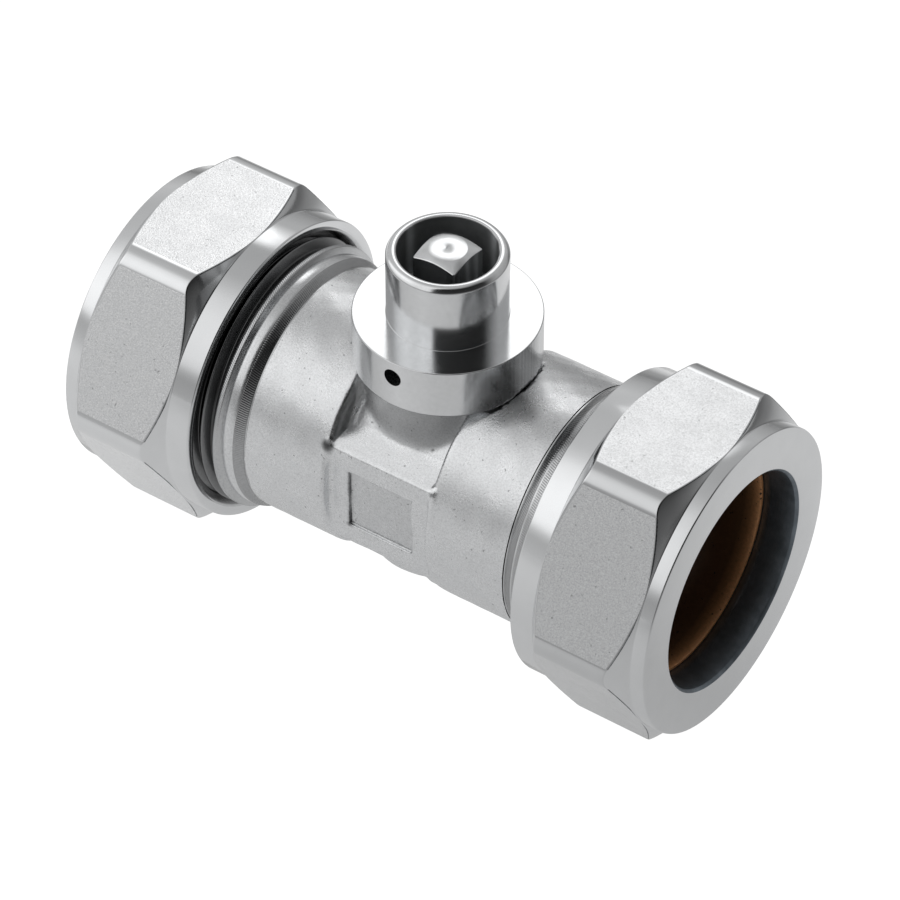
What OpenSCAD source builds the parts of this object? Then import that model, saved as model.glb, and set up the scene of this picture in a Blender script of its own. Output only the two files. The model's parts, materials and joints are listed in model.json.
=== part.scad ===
// Vented compression coupling for 22 mm pipe: a forged body with a turned air vent on top,
// two hexagon nuts and their olives. Millimetres, +Z up, the run of the pipe along X.
// The part lies on one flat of each nut. The origin is on the floor, at the middle of its length.

/* [Pipe] */
// Outside diameter of the pipe
pipe_d = 22; // [20:0.5:24]
// Room round the pipe inside the body's socket, on the radius
socket_room = 0.1; // [0.05:0.01:0.2]
// Room round the pipe inside the olive, on the radius
olive_room = 0.08; // [0.05:0.01:0.2]
// Room round the pipe inside the nut's end hole, on the radius
nut_room = 0.3; // [0.15:0.05:0.45]

/* [Nuts] */
// Size across the flats of the hexagon
nut_af = 32; // [31:0.5:34]
// Length of one nut
nut_len = 15; // [14.5:0.25:17]
// Radius of the rounded corners of the hexagon
nut_corner_r = 2.55; // [1:0.05:4]
// Length of the plain round band at the body's end of the nut
nut_band_len = 2.6; // [1.5:0.1:3.5]
// Length of the plain round band at the open end of the nut
nut_end_band_len = 1.5; // [0.6:0.1:2]
// How much lower the round bands are than the flats
nut_band_drop = 0.1; // [0.05:0.05:0.6]
// Slope of the hexagon's chamfers, in degrees from the end face
nut_chamfer_angle = 37; // [25:1:45]
// Length of the end hole that the pipe passes through
nut_hole_len = 3.1; // [2:0.1:4]
// Chamfer at the mouth of the end hole
nut_mouth_chamfer = 0.3; // [0.1:0.05:0.5]
// Countersink at the threaded mouth of the nut
nut_thread_mouth = 1.7; // [0.8:0.1:2]
// Broken edge at both ends of the nut
nut_edge_chamfer = 0.15; // [0.05:0.05:0.3]
// How far the right nut is backed off from finger tight
slack_right = 0.4; // [0.1:0.1:3]
// How far the left nut is backed off from finger tight
slack_left = 2.2; // [0.1:0.1:3]

/* [Olives] */
// Thickness of the olive's wall at its middle
olive_wall = 1.22; // [1:0.02:1.4]
// Length of the plain middle band of the olive
olive_land = 3.2; // [2.5:0.1:3.6]
// Thickness left at the olive's ends
olive_edge = 0.47; // [0.3:0.01:0.6]
// Slope of the olive's tapers and of both cones they seat in, in degrees from the axis
cone_angle = 20; // [18:1:25]
// Room between a taper and its cone, along the axis
cone_room = 0.2; // [0.1:0.05:0.4]

/* [Body thread] */
// Wall between the mouth of the olive's cone and the root of the body's thread
thread_wall = 0.78; // [0.7:0.02:1]
// Pitch of the body's thread
thread_pitch = 1.5; // [1:0.25:1.5]
// Length of each threaded end, from the ring to the end face
thread_len = 6.85; // [6.1:0.25:7.6]
// Chamfer at the end of the thread
thread_chamfer = 0.35; // [0.1:0.05:0.4]

/* [Body] */
// Distance from the vent's axis to where a threaded end starts
ring_end_x = 16.4; // [16:0.1:17]
// Width of the smooth ring that stands next to each thread
ring_w = 0.7; // [0.5:0.1:1.5]
// How far the ring stands above the root of the thread
ring_proud = 0.22; // [0.1:0.02:0.5]
// Outside radius of the round barrels
barrel_r = 12.75; // [12.5:0.05:13]
// Distance from the vent's axis to the inner ends of the barrels
barrel_start_x = 5.9; // [5:0.1:6.5]
// Softened edge at the inner end of each barrel
barrel_round = 0.4; // [0.2:0.1:1]
// Outside radius of the narrower middle
middle_r = 10; // [9.8:0.1:10.6]
// Radius of the waterway through the middle
waterway_r = 8.4; // [7.5:0.1:8.6]
// Distance from the vent's axis to the stops that the pipes meet
stop_x = 11.1; // [10:0.1:12.5]
// Distance across the two side flats
flats_w = 23; // [22:0.25:24]
// Height of the side flats
flats_h = 11.8; // [10:0.2:13]
// Softened edge of the side flats
flats_round = 0.6; // [0.2:0.1:1]
// Width of the sunk panel in the front flat
panel_w = 7.3; // [6:0.1:8]
// Height of the sunk panel in the front flat
panel_h = 6.9; // [5:0.1:8]
// Depth of the sunk panel
panel_depth = 0.35; // [0.1:0.05:0.5]
// Radius of the clamping pad under the middle
pad_r = 8.2; // [6:0.1:8.5]
// Drop of the clamping pad below the middle
pad_drop = 0.7; // [0.6:0.1:1.5]
// Edge chamfer of the clamping pad
pad_chamfer = 0.5; // [0.1:0.1:0.6]

/* [Neck] */
// Radius of the neck that carries the vent
neck_r = 7.5; // [7.3:0.1:8]
// How far the neck's faced top lies below the tops of the barrels
facing_depth = 0.85; // [0.65:0.05:1.05]
// Height over which the foot of the neck flares
neck_flare_h = 0.8; // [0.5:0.1:2]
// How far the foot of the neck flares
neck_flare_w = 0.5; // [0.3:0.1:1.5]
// Room round the collar where it is faced into the barrels, on the radius
facing_room = 0.5; // [0.3:0.1:1]
// Outside diameter of the thread that holds the vent's housing
housing_thread_d = 10; // [9.6:0.1:11]
// Pitch of that thread
housing_pitch = 1; // [0.75:0.25:1.25]
// Thickness of the sealing washer under the collar
washer_t = 0.4; // [0.3:0.05:0.8]
// Outside radius of the sealing washer
washer_r = 7; // [6.5:0.1:7.2]

/* [Vent housing] */
// Outside radius of the collar
collar_r = 9.2; // [8.8:0.1:10]
// Height of the collar
collar_h = 5.4; // [5.2:0.1:6]
// Edge chamfer of the collar
collar_chamfer = 0.1; // [0.1:0.05:0.4]
// Outside radius of the cup above the collar
cup_r = 5.92; // [5.7:0.01:6.4]
// Inside radius of the cup
cup_hole_r = 4.86; // [4.7:0.01:5.1]
// Height of the cup above the collar
cup_h = 7.6; // [6.5:0.1:9]
// Height of the rounded lip
lip_h = 0.55; // [0.3:0.05:0.8]
// Radius of the air outlet in the collar's side
outlet_r = 0.95; // [0.6:0.05:1.1]
// Height of the outlet above the collar's underside
outlet_up = 3.55; // [3.3:0.05:3.8]
// Radius of the hole that lets the air in at the bottom
inlet_r = 1.1; // [0.8:0.05:1.4]
// How far the housing's bottom stays clear of the waterway's crown
housing_clear = 0.4; // [0.2:0.1:0.8]
// Length of the straight inlet hole below the seat
inlet_len = 0.7; // [0.4:0.1:1]

/* [Spindle] */
// Size across the flats of the square head
square_af = 4.8; // [4.4:0.1:5]
// Height of the chamfer on top of the square
square_chamfer_h = 0.65; // [0.3:0.05:1]
// Radius of the flat disc left on top of the square
square_disc_r = 1.9; // [1.5:0.1:2.1]
// How far the square's top stands above the cup's rim
square_proud = 0.15; // [0:0.05:0.5]
// Outside diameter of the spindle's thread
spindle_thread_d = 6; // [5.8:0.1:6.4]
// Pitch of the spindle's thread
spindle_pitch = 1; // [0.75:0.25:1]
// Radius of the smooth bore that the sealing ring slides in
ring_bore_r = 3.9; // [3.8:0.05:4.1]
// Room round the spindle's flanges in that bore, on the radius
spindle_room = 0.08; // [0.03:0.01:0.15]
// Thickness of the sealing ring's cord
seal_cord = 1; // [0.8:0.05:1.1]
// Thickness of the flange under the sealing ring
flange_low_t = 0.35; // [0.3:0.05:0.5]
// Thickness of the flange above the sealing ring
flange_high_t = 0.4; // [0.3:0.05:0.6]
// Width of the groove milled along the thread to let the air by
air_groove_w = 1.2; // [0.8:0.1:1.4]
// Depth of that groove below the root of the thread
air_groove_depth = 0.7; // [0.4:0.05:0.9]
// Radius of the smooth stem between the thread and the flanges
stem_r = 1.9; // [1.5:0.1:2.1]
// Radius of the blunt tip of the needle
tip_r = 0.6; // [0.4:0.05:0.8]
// Room between the closed needle and its seat, along the axis
seat_room = 0.06; // [0.03:0.01:0.1]
// Room round the cord of the sealing ring
seal_room = 0.03; // [0.02:0.01:0.05]
// Extra width of the sealing ring's groove
groove_room = 0.2; // [0.1:0.05:0.3]
// Room between the air outlet and the flange above it
flange_room = 0.05; // [0.05:0.05:0.15]
// Depth of the air chamber below the outlet
chamber_room = 0.1; // [0.05:0.05:0.15]
// How far the spindle rises when it is fully open; the smooth bore is long enough for it
spindle_lift = 1; // [0.5:0.1:1.2]

/* [Hidden] */
$fn = 96;

// Extra length that lets a cut pass through a surface
over = 1;
// Where the middle point of a softened edge lies, as a share of its size
edge_share = 0.3;
// Depth of an outside and of an inside thread form, as shares of the pitch
outer_thread_share = 0.6134;
inner_thread_share = 0.5413;

// Radii on the run's axis
pipe_r = pipe_d / 2;
socket_r = pipe_r + socket_room;
nut_hole_r = pipe_r + nut_room;
olive_hole_r = pipe_r + olive_room;
olive_r = olive_hole_r + olive_wall;
olive_end_r = olive_hole_r + olive_edge;
thread_root_r = olive_r + thread_wall;
thread_r = thread_root_r + outer_thread_share * thread_pitch;
nut_thread_r = thread_r - inner_thread_share * thread_pitch;
ring_r = thread_root_r + ring_proud;
cone_slope = tan(cone_angle);

// Places along the run, from the vent's axis
body_end_x = ring_end_x + thread_len;
ring_start_x = ring_end_x - ring_w;
ring_chamfer = ring_proud / 2;
socket_cone_len = (olive_r - socket_r) / cone_slope;

// The olive, and where it sits when its taper meets the body's cone
olive_taper_len = (olive_r - olive_end_r) / cone_slope;
olive_len = olive_land + 2 * olive_taper_len;
olive_seat_x = body_end_x + cone_room + olive_land / 2;

// The nut, measured from its inner face
nut_cone_start = nut_len - nut_hole_len;
olive_in_nut = nut_cone_start - cone_room - (olive_end_r - nut_hole_r) / cone_slope - olive_len / 2;
nut_cone_top_r = olive_r + cone_room * cone_slope;
nut_cone_end = nut_cone_start - (nut_cone_top_r - nut_hole_r) / cone_slope;
nut_thread_end = nut_cone_end - (nut_thread_r - nut_cone_top_r);
nut_tight_x = olive_seat_x - olive_in_nut;
nut_right_x = nut_tight_x + slack_right;
nut_left_x = nut_tight_x + slack_left;
nut_corner_reach = nut_af / 2 / cos(30) + over;

// The run's axis and the vent's axis in the part's frame
run_z = nut_af / 2;
vent_x = (nut_left_x - nut_right_x) / 2;

// Heights of the vent, from the run's axis
neck_top_z = barrel_r - facing_depth;
collar_z = neck_top_z + washer_t;
collar_top_z = collar_z + collar_h;
rim_z = collar_top_z + cup_h;
housing_low_z = waterway_r + housing_clear;
shank_root_r = housing_thread_d / 2 - outer_thread_share * housing_pitch;
neck_hole_r = housing_thread_d / 2 - inner_thread_share * housing_pitch;
spindle_root_r = spindle_thread_d / 2 - outer_thread_share * spindle_pitch;
spindle_hole_r = spindle_thread_d / 2 - inner_thread_share * spindle_pitch;
outlet_z = collar_z + outlet_up;
chamber_low_z = outlet_z - outlet_r - chamber_room;
chamber_high_z = outlet_z + outlet_r;
seat_z = housing_low_z + inlet_len;
seat_top_z = seat_z + spindle_hole_r - inlet_r;

// Middle points of the cup's lip, as shares of its width and of its height
lip_points = [[0.15, 0.65], [0.45, 0.25]];

// Heights of the spindle when it is closed, and the rooms round it
tip_z = seat_z - inlet_r + tip_r + seat_room;
tip_top_z = tip_z + spindle_root_r - tip_r;
groove_r = ring_bore_r - seal_cord;
flange_z = chamber_high_z + flange_room;
groove_z = flange_z + flange_low_t;
groove_top_z = groove_z + seal_cord + groove_room;
flange_top_z = groove_top_z + flange_high_t;
spindle_top_z = rim_z + square_proud;
flange_r = ring_bore_r - spindle_room;
cup_floor_z = groove_top_z + spindle_lift;

// Radii and depth of the turning centre in the top of the spindle
centre_r = 0.35;
centre_low_r = 0.1;
centre_depth = 0.25;

// A half outline in [radius, place] points, followed by its mirror image
function both_ways(half) =
    concat(half, [for (i = [len(half) - 1 : -1 : 0]) [half[i][0], -half[i][1]]]);

// Turns an outline of [radius, place along X] points about the run's axis
module turned_on_run(outline) {
    rotate([0, 90, 0]) rotate_extrude() polygon(outline);
}

// Puts a thing that is drawn about the two axes into the part's frame
module in_frame() {
    translate([vent_x, 0, run_z]) children();
}

// Outside of the turned and forged run: middle, barrels, rings and threaded ends
module run_outside() {
    turned_on_run(both_ways([
        [middle_r, barrel_start_x],
        [barrel_r - barrel_round, barrel_start_x],
        [barrel_r - edge_share * barrel_round, barrel_start_x + edge_share * barrel_round],
        [barrel_r, barrel_start_x + barrel_round],
        [barrel_r, ring_start_x],
        [ring_r - ring_chamfer, ring_start_x],
        [ring_r, ring_start_x + ring_chamfer],
        [ring_r, ring_end_x - ring_chamfer],
        [ring_r - ring_chamfer, ring_end_x],
        [thread_root_r, ring_end_x],
        [thread_root_r, body_end_x - thread_chamfer],
        [thread_root_r - thread_chamfer, body_end_x],
        [0, body_end_x]
    ]));
}

// The waterway, the two pipe sockets with their stops, and the cones for the olives
module run_inside() {
    turned_on_run(both_ways([
        [waterway_r, stop_x],
        [socket_r, stop_x],
        [socket_r, body_end_x - socket_cone_len],
        [olive_r, body_end_x],
        [olive_r, body_end_x + over],
        [0, body_end_x + over]
    ]));
}

// The block between the barrels that gives the body its front and back flats
module side_flats() {
    y = flats_w / 2;
    z = flats_h / 2;
    c = flats_round;
    rotate([90, 0, 90]) linear_extrude(2 * barrel_start_x + barrel_round, center = true) polygon([
        [y, z - c], [y - c, z], [c - y, z], [-y, z - c],
        [-y, c - z], [c - y, -z], [y - c, -z], [y, c - z]
    ]);
}

// Neck on top for the vent and round clamping pad underneath
module neck_and_pad() {
    foot_z = middle_r - neck_flare_h;
    rotate_extrude() polygon([
        [0, 0],
        [neck_r + neck_flare_w, 0],
        [neck_r + neck_flare_w, foot_z - neck_flare_h],
        [neck_r, foot_z],
        [neck_r, neck_top_z],
        [0, neck_top_z]
    ]);
    rotate_extrude() polygon([
        [0, 0],
        [pad_r, 0],
        [pad_r, pad_chamfer - middle_r - pad_drop],
        [pad_r - pad_chamfer, -middle_r - pad_drop],
        [0, -middle_r - pad_drop]
    ]);
}

module body() {
    color("gainsboro") in_frame() difference() {
        union() {
            run_outside();
            side_flats();
            neck_and_pad();
        }
        run_inside();
        // Tapped hole for the vent, with its countersink
        cylinder(h = neck_top_z + over, r = neck_hole_r);
        translate([0, 0, neck_top_z]) rotate_extrude() polygon([
            [0, neck_hole_r - housing_thread_d / 2],
            [neck_hole_r, neck_hole_r - housing_thread_d / 2],
            [housing_thread_d / 2, 0],
            [housing_thread_d / 2, over],
            [0, over]
        ]);
        // Round facing that makes room for the collar in the tops of the barrels
        translate([0, 0, neck_top_z]) difference() {
            cylinder(h = barrel_r, r = collar_r + facing_room);
            translate([0, 0, -over]) cylinder(h = over, r = neck_r);
        }
        // Sunk panel in the front flat
        translate([-panel_w / 2, -flats_w / 2 - over, -panel_h / 2])
            cube([panel_w, over + panel_depth, panel_h]);
    }
}

// Rounded hexagon with a flat facing down
module hexagon() {
    corner = (nut_af / 2 - nut_corner_r) / cos(30);
    for (i = [0 : 5]) rotate(60 * i) translate([corner, 0]) circle(r = nut_corner_r, $fn = 48);
    difference() {
        circle(r = nut_corner_reach);
        for (i = [0 : 5]) rotate(60 * i + 30) translate([nut_af / 2, -nut_af]) square(2 * nut_af);
        for (i = [0 : 5]) rotate(60 * i) translate([corner, -nut_af]) square(2 * nut_af);
    }
    for (i = [0 : 5]) rotate(60 * i + 30)
        translate([0, -corner * sin(30)]) square([nut_af / 2, 2 * corner * sin(30)]);
}

// One nut, with its inner face at zero and its open end towards +X
module nut() {
    rise = (nut_corner_reach - nut_af / 2) * tan(nut_chamfer_angle);
    band_r = nut_af / 2 - nut_band_drop;
    difference() {
        union() {
            intersection() {
                translate([nut_band_len, 0, 0]) rotate([90, 0, 90])
                    linear_extrude(nut_len - nut_band_len - nut_end_band_len) hexagon();
                turned_on_run([
                    [0, nut_band_len],
                    [nut_af / 2, nut_band_len],
                    [nut_corner_reach, nut_band_len + rise],
                    [nut_corner_reach, nut_len - nut_end_band_len - rise],
                    [nut_af / 2, nut_len - nut_end_band_len],
                    [0, nut_len - nut_end_band_len]
                ]);
            }
            turned_on_run([
                [0, 0],
                [band_r - nut_edge_chamfer, 0],
                [band_r, nut_edge_chamfer],
                [band_r, nut_len - nut_edge_chamfer],
                [band_r - nut_edge_chamfer, nut_len],
                [0, nut_len]
            ]);
        }
        turned_on_run([
            [0, -over],
            [nut_thread_r + nut_thread_mouth, -over],
            [nut_thread_r + nut_thread_mouth, 0],
            [nut_thread_r, nut_thread_mouth],
            [nut_thread_r, nut_thread_end],
            [nut_cone_top_r, nut_cone_end],
            [nut_hole_r, nut_cone_start],
            [nut_hole_r, nut_len - nut_mouth_chamfer],
            [nut_hole_r + nut_mouth_chamfer, nut_len],
            [nut_hole_r + nut_mouth_chamfer, nut_len + over],
            [0, nut_len + over]
        ]);
    }
}

// One olive, centred at zero
module olive() {
    half = olive_len / 2;
    turned_on_run([
        [olive_hole_r, -half],
        [olive_end_r, -half],
        [olive_r, -olive_land / 2],
        [olive_r, olive_land / 2],
        [olive_end_r, half],
        [olive_hole_r, half]
    ]);
}

module nut_right() {
    color("silver") in_frame() translate([nut_right_x, 0, 0]) nut();
}

module nut_left() {
    color("silver") in_frame() mirror([1, 0, 0]) translate([nut_left_x, 0, 0]) nut();
}

module olive_right() {
    color("peru") in_frame() translate([nut_right_x + olive_in_nut, 0, 0]) olive();
}

module olive_left() {
    color("peru") in_frame() mirror([1, 0, 0]) translate([nut_left_x + olive_in_nut, 0, 0]) olive();
}

// Turned housing of the vent: threaded shank, collar with the air outlet, and cup
module vent_housing() {
    c = collar_chamfer;
    lip_w = cup_r - cup_hole_r;
    color("lightgray") in_frame() difference() {
        rotate_extrude() polygon([
            [0, housing_low_z],
            [shank_root_r, housing_low_z],
            [shank_root_r, collar_z],
            [collar_r - c, collar_z],
            [collar_r, collar_z + c],
            [collar_r, collar_top_z - c],
            [collar_r - c, collar_top_z],
            [cup_r, collar_top_z],
            [cup_r, rim_z - lip_h],
            for (p = lip_points) [cup_r - p[0] * lip_w, rim_z - p[1] * lip_h],
            [cup_hole_r, rim_z],
            [0, rim_z]
        ]);
        rotate_extrude() polygon([
            [0, housing_low_z - over],
            [inlet_r, housing_low_z - over],
            [inlet_r, seat_z],
            [spindle_hole_r, seat_top_z],
            [spindle_hole_r, chamber_low_z],
            [ring_bore_r, chamber_low_z],
            [ring_bore_r, cup_floor_z],
            [cup_hole_r, cup_floor_z],
            [cup_hole_r, rim_z + over],
            [0, rim_z + over]
        ]);
        translate([0, 0, outlet_z]) rotate([90, 0, 0]) cylinder(h = collar_r + over, r = outlet_r, $fn = 48);
    }
}

module housing_washer() {
    color("dimgray") in_frame() translate([0, 0, neck_top_z]) difference() {
        cylinder(h = washer_t, r = washer_r);
        translate([0, 0, -over]) cylinder(h = washer_t + 2 * over, r = housing_thread_d / 2);
    }
}

// Bleed spindle: needle, threaded part with its air groove, sealing flanges and square head
module bleed_spindle() {
    // The cone that chamfers the square's corners goes on past them
    corner_r = square_af * sqrt(2) / 2;
    cone_far_r = corner_r + over;
    cone_far_drop = square_chamfer_h * (cone_far_r - square_disc_r) / (corner_r - square_disc_r);
    color("whitesmoke") in_frame() {
        difference() {
            rotate_extrude() polygon([
                [0, tip_z],
                [tip_r, tip_z],
                [spindle_root_r, tip_top_z],
                [spindle_root_r, chamber_low_z],
                [stem_r, chamber_low_z],
                [stem_r, flange_z],
                [flange_r, flange_z],
                [flange_r, groove_z],
                [groove_r, groove_z],
                [groove_r, groove_top_z],
                [flange_r, groove_top_z],
                [flange_r, flange_top_z],
                [0, flange_top_z]
            ]);
            translate([-air_groove_w / 2, -spindle_thread_d, tip_top_z - over])
                cube([air_groove_w, spindle_thread_d - spindle_root_r + air_groove_depth,
                    chamber_low_z - tip_top_z + 2 * over]);
        }
        difference() {
            intersection() {
                translate([-square_af / 2, -square_af / 2, flange_top_z])
                    cube([square_af, square_af, spindle_top_z - flange_top_z]);
                rotate_extrude() polygon([
                    [0, flange_top_z - over],
                    [cone_far_r, flange_top_z - over],
                    [cone_far_r, spindle_top_z - cone_far_drop],
                    [square_disc_r, spindle_top_z],
                    [0, spindle_top_z]
                ]);
            }
            // Turning centre in the top
            translate([0, 0, spindle_top_z]) rotate_extrude($fn = 32)
                polygon([
                    [0, -centre_depth], [centre_low_r, -centre_depth],
                    [centre_r, 0], [centre_r, over], [0, over]
                ]);
        }
    }
}

module spindle_seal_ring() {
    color("black") in_frame() translate([0, 0, (groove_z + groove_top_z) / 2])
        rotate_extrude() translate([ring_bore_r - seal_cord / 2, 0])
            circle(r = seal_cord / 2 - seal_room, $fn = 24);
}

body();
nut_left();
nut_right();
olive_left();
olive_right();
vent_housing();
housing_washer();
bleed_spindle();
spindle_seal_ring();
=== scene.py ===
import json
import math

import bpy
import numpy as np
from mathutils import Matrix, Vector


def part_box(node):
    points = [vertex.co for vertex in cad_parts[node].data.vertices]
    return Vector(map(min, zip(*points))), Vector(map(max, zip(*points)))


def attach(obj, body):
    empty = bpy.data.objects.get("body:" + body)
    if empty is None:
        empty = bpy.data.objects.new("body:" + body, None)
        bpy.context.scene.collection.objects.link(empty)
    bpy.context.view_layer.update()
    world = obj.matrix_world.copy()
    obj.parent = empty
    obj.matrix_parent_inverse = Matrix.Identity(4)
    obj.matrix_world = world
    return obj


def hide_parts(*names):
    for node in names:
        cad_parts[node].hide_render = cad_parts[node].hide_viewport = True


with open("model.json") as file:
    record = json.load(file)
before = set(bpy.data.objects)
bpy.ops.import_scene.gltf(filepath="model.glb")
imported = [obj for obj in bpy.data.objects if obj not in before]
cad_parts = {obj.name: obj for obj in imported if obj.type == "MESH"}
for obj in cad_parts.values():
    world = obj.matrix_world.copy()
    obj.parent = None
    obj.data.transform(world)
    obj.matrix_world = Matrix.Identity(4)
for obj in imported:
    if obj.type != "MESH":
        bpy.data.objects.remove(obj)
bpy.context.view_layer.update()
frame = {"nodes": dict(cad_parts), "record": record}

# Sizes are in millimetres. Lengths on the run count from the vent's axis, heights from the run's axis.
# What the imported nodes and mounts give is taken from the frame.
MM = 0.001
mounts = {mount["name"]: mount for mount in frame["record"]["mounts"]}
VENT_X = round(mounts["vent_key"]["pos_m"][0] / MM, 4)
RUN_Z = round(mounts["pipe_right"]["pos_m"][2] / MM, 4)
ORIGIN = (VENT_X, 0, RUN_Z)


def node_box(name):
    """Lowest and highest corner of a CAD node, in millimetres about the run and vent axes."""
    return [np.round(np.array(corner) / MM - ORIGIN, 4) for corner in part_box(name)]


nut_low, nut_high = node_box("nut_right")
washer_low, washer_high = node_box("housing_washer")
housing_low, housing_high = node_box("vent_housing")
spindle_low, spindle_high = node_box("bleed_spindle")

# Forged middle of the body
BARREL_R = 12.75
BARREL_START = 5.9
MIDDLE_R = 10.0
FLAT_Y = 11.5
FLAT_Z = 5.9
PANEL_X = 3.65
PANEL_Z = 3.45
PANEL_DEPTH = 0.35
NECK_R = 7.4
NECK_TOP = washer_low[2]
FACING_R = 9.24
PAD_R = 8.2
PAD_Z = 10.7
# Widths over which its forms run into each other
EDGE_BLEND = 0.55
BLOCK_END_BLEND = 0.3
BLOCK_BLEND = 0.5
BARREL_BLEND = 0.6
NECK_BLEND = 0.9
PAD_EDGE_BLEND = 1.2
PAD_BLEND = 1.4
PANEL_BLEND = 0.12
# The forged surface is made as far as this; the turned ends go on from here
CORE_END = 15.3
CORE_CELL = 0.25

# Inside of the body
WATERWAY_R = 8.4
TAPPED_R = 4.46
STOP = 11.1
SOCKET_R = mounts["pipe_right"]["dims"]["r_mm"]
SOCKET_END = 19.953
OLIVE_R = 12.3
BORE_CELL = 0.4

# Turned ends of the body
BODY_END = node_box("body")[1][0]
CONE_START = 15.35
RING_START = 16.3
RING_END = 17.5
RING_R = 13.3
THREAD_START = 17.6
THREAD_ROOT = 13.08
THREAD_CREST = 14.0
THREAD_CHAMFER = 0.35
END_SEGMENTS = 288
# The first turn is a plain ridge, and the helix starts behind it
CREST_START = 17.8
CREST_END = 18.3
RIDGE_START = THREAD_START + 0.9
PITCH = 1.5
# Form of a ridge, as (share of the pitch, share of the height)
THREAD_SHAPE = [(0.0, 0.0), (0.16, 0.0), (0.22, 0.1), (0.47, 0.9), (0.51, 1.0), (0.62, 1.0), (0.66, 0.9),
                (0.92, 0.1)]
# How far each end's ridges are moved along the run, as a share of the pitch
THREAD_PHASE = {1: 0.0, -1: -0.806}
# Fine hatching
HATCH_RIDGES = 360
HATCH_COLUMNS = 6 * HATCH_RIDGES
HATCH_ROWS = 8
HATCH_SLANT = 8.0

# Nuts, with places that count from the end that faces the body
NUT_HALF = nut_high[2]
NUT_LEN = round(nut_high[0] - nut_low[0], 4)
NUT_CORNER_R = 2.55
NUT_BAND = 2.6
NUT_END_BAND = 1.5
NUT_BAND_R = 15.9
NUT_EDGE = 0.15
NUT_SLOPE = math.tan(math.radians(37))
# How softly the chamfers run into the flats
NUT_SOFT = 0.07
NUT_MOUTH = 1.7
NUT_THREAD_R = 13.19
NUT_THREAD_DEPTH = 0.85
NUT_THREAD_END = 8.14
NUT_CONE_END = 8.96
NUT_CONE_TOP_R = 12.373
NUT_CONE_START = 11.9
NUT_HOLE_R = 11.3
NUT_SEGMENTS = 720

# Olives
OLIVE_HOLE_R = 11.08
OLIVE_END_R = 11.55
OLIVE_HALF = 3.66
OLIVE_LAND = 1.6

# Vent
COLLAR_Z = washer_high[2]
COLLAR_TOP = 17.7
COLLAR_R = housing_high[0]
CUP_R = 5.92
CUP_HOLE_R = 4.86
CUP_FLOOR = 19.4
RIM_Z = housing_high[2]
OUTLET_Z = 15.85
OUTLET_R = 0.95
SHANK_R = 4.387
SHANK_END = housing_low[2]
SEAT_R = 1.1
CHAMBER_R = 3.9
CHAMBER_FLOOR = 14.8
SPINDLE_HOLE_R = 2.46
SPINDLE_THREAD_R = 2.387
SPINDLE_STEM_R = 1.9
SPINDLE_TIP = spindle_low[2]
SPINDLE_TOP = spindle_high[2]
FLANGE_R = spindle_high[0]
GROOVE_R = 2.9
HEAD_START = 18.8
HEAD_HALF = 2.4
HEAD_CORNER_R = 0.18
# Bright disc on the square head, from which its corners fall away
HEAD_DISC_R = 1.9
HEAD_DROP = 0.65
VENT_SEGMENTS = 256


# Building meshes

def place(points):
    """Points in millimetres about the run and vent axes, as metres in the part's frame."""
    return (np.asarray(points, float).reshape(-1, 3) + ORIGIN) * MM


def unplace(points):
    """Points in metres in the part's frame, as millimetres about the run and vent axes."""
    return np.array(points) / MM - ORIGIN


def mark(mesh, name, values):
    """Keeps a number from 0 to 1 at each point of a mesh for its material: how much painted shade darkens it,
    or frost, how dull it is."""
    attribute = mesh.attributes.new(name, "FLOAT", "POINT")
    attribute.data.foreach_set("value", np.asarray(values, float).tolist())


def mesh_object(name, points, faces, material, body, node=None, normals=None, painted_shade=None, frost=None):
    """A piece of the visual model."""
    mesh = bpy.data.meshes.new(name)
    mesh.from_pydata(place(points).tolist(), [], faces)
    mesh.update()
    mesh.polygons.foreach_set("use_smooth", [True] * len(mesh.polygons))
    if normals is not None:
        mesh.normals_split_custom_set_from_vertices([tuple(n) for n in normals])
    mesh.materials.append(material)
    if painted_shade is not None:
        mark(mesh, "painted_shade", painted_shade)
    if frost is not None:
        mark(mesh, "frost", frost)
    obj = bpy.data.objects.new(name, mesh)
    bpy.context.scene.collection.objects.link(obj)
    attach(obj, body)
    if node:
        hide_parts(node)
    return obj


def weighted(obj):
    """Broad faces keep their own shading and narrow edge strips turn smoothly between them."""
    modifier = obj.modifiers.new("weighted", "WEIGHTED_NORMAL")
    modifier.mode = "FACE_AREA"
    modifier.weight = 100
    modifier.keep_sharp = True


def grid_faces(rows, columns, closed_rows=False):
    """Quads of a sheet of rows by columns that closes round its columns."""
    last = rows if closed_rows else rows - 1
    i = np.arange(last)[:, None]
    j = np.arange(columns)[None, :]
    a = i * columns + j
    b = i * columns + (j + 1) % columns
    c = ((i + 1) % rows) * columns + (j + 1) % columns
    d = ((i + 1) % rows) * columns + j
    return np.stack([a, b, c, d], -1).reshape(-1, 4).tolist()


def flipped(faces):
    """The same faces seen from their other side."""
    return [face[::-1] for face in faces]


def circle(segments):
    """Angles evenly round a circle."""
    return np.linspace(0, 2 * math.pi, segments, endpoint=False)


def rounded(profile):
    """An outline of (radius, place, rounding) with its corners rounded by short arcs."""
    out = []
    for i, (radius, along, rounding) in enumerate(profile):
        here = np.array([radius, along], float)
        if rounding <= 0 or i in (0, len(profile) - 1):
            out.append(here)
            continue
        before = np.array(profile[i - 1][:2], float) - here
        after = np.array(profile[i + 1][:2], float) - here
        to_before, to_after = np.linalg.norm(before), np.linalg.norm(after)
        cut = min(rounding, 0.45 * to_before, 0.45 * to_after)
        start, end = here + before / to_before * cut, here + after / to_after * cut
        for t in np.linspace(0, 1, 5):
            out.append((1 - t) ** 2 * start + 2 * t * (1 - t) * here + t ** 2 * end)
    return np.array(out)


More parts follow.
